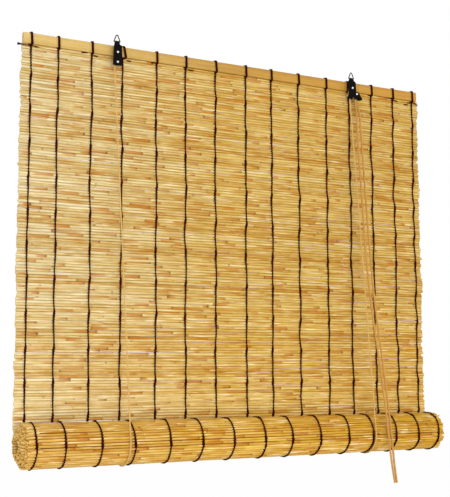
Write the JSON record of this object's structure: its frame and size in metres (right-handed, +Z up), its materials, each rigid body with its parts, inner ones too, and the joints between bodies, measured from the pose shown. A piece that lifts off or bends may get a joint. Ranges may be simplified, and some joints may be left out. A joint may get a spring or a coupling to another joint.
{
  "type": "reed roller blind",
  "caption": "Woven reed roller blind, half rolled up, hung by two ringed cord hangers; a cord lock and lift cords under the roll raise and hold it.",
  "frame": {"origin": "midway between the seats of the two hanging rings, where the wall hooks bear", "axes": "+X along the head batten to the right seen from the room, +Y towards the wall, +Z up"},
  "size_m": [0.9112, 0.0988, 0.8602],
  "materials": {
    "reed": "dry natural reed, satin",
    "batten_wood": "planed softwood",
    "warp_cord": "twisted dark brown cord",
    "lift_cord": "braided tan cord",
    "pull_cord": "braided tan cord",
    "black_metal": "black enamel",
    "rivet_steel": "bright rivet heads",
    "staple_steel": "drawn wire",
    "pulley_plastic": "moulded"
  },
  "bodies": {
    "headrail": {"head_batten": "batten_wood", "reed_mat": "reed", "warp_cord_01": "warp_cord", "warp_cord_02": "warp_cord", "warp_cord_03": "warp_cord", "warp_cord_04": "warp_cord", "warp_cord_05": "warp_cord", "warp_cord_06": "warp_cord", "warp_cord_07": "warp_cord", "warp_cord_08": "warp_cord", "warp_cord_09": "warp_cord", "warp_cord_10": "warp_cord", "warp_cord_11": "warp_cord", "warp_cord_12": "warp_cord", "warp_cord_13": "warp_cord", "warp_cord_14": "warp_cord", "warp_cord_15": "warp_cord", "tie_ends": "warp_cord", "left_hanger": "black_metal", "right_hanger": "black_metal", "left_fixing_rivet": "rivet_steel", "left_axle_rivet": "rivet_steel", "right_fixing_rivet": "rivet_steel", "lock_pivot_rivet": "rivet_steel", "cord_staples": "staple_steel", "left_lift_front": "lift_cord", "right_lift_front": "lift_cord", "right_lift_turn": "lift_cord", "left_lift_back": "lift_cord", "right_lift_back": "lift_cord", "cross_cord": "lift_cord", "front_pull_strand": "pull_cord", "back_pull_strand": "pull_cord"},
    "lift_cradle": {"left_lift_bight": "lift_cord", "right_lift_bight": "lift_cord"},
    "roll": {"reed_roll": "reed", "bottom_batten": "batten_wood", "roll_warps": "warp_cord"},
    "left_pulley": {"left_pulley": "pulley_plastic"},
    "right_pulley": {"right_pulley": "pulley_plastic"},
    "lock_lever": {"lock_lever": "black_metal"},
    "left_ring": {"left_ring": "black_metal"},
    "right_ring": {"right_ring": "black_metal"}
  },
  "joints": [
    {"name": "roll_lift", "type": "slide", "parent": "headrail", "child": "lift_cradle", "axis": [0, 0, 1], "range_m": [0, 0.50265], "deforming": ["reed_mat", "warp_cord_01", "warp_cord_02", "warp_cord_03", "warp_cord_04", "warp_cord_05", "warp_cord_06", "warp_cord_07", "warp_cord_08", "warp_cord_09", "warp_cord_10", "warp_cord_11", "warp_cord_12", "warp_cord_13", "warp_cord_14", "warp_cord_15", "left_lift_front", "right_lift_front", "left_lift_back", "right_lift_back", "front_pull_strand", "back_pull_strand"]},
    {"name": "roll_turn", "type": "hinge", "parent": "lift_cradle", "child": "roll", "pos_m": [0, -0.0294, -0.75952], "axis": [-1, 0, 0], "range_deg": [0, 720]},
    {"name": "left_pulley_spin", "type": "hinge", "parent": "headrail", "child": "left_pulley", "pos_m": [-0.27, 0, -0.05252], "axis": [0, 1, 0], "continuous": true},
    {"name": "right_pulley_spin", "type": "hinge", "parent": "headrail", "child": "right_pulley", "pos_m": [0.27, 0, -0.03332], "axis": [0, 1, 0], "continuous": true},
    {"name": "lock_swing", "type": "hinge", "parent": "headrail", "child": "lock_lever", "pos_m": [0.281, 0, -0.04552], "axis": [0, -1, 0], "range_deg": [0, 35]},
    {"name": "left_ring_swing", "type": "hinge", "parent": "headrail", "child": "left_ring", "pos_m": [-0.27, 0, -0.01252], "axis": [1, 0, 0], "range_deg": [-90, 90]},
    {"name": "right_ring_swing", "type": "hinge", "parent": "headrail", "child": "right_ring", "pos_m": [0.27, 0, -0.01252], "axis": [1, 0, 0], "range_deg": [-90, 90]}
  ],
  "couplings": [
    {"joint": "roll_turn", "follows": "roll_lift", "rad_per_m": 25},
    {"joint": "left_pulley_spin", "follows": "roll_lift", "rad_per_m": 400},
    {"joint": "right_pulley_spin", "follows": "roll_lift", "rad_per_m": 400}
  ]
}
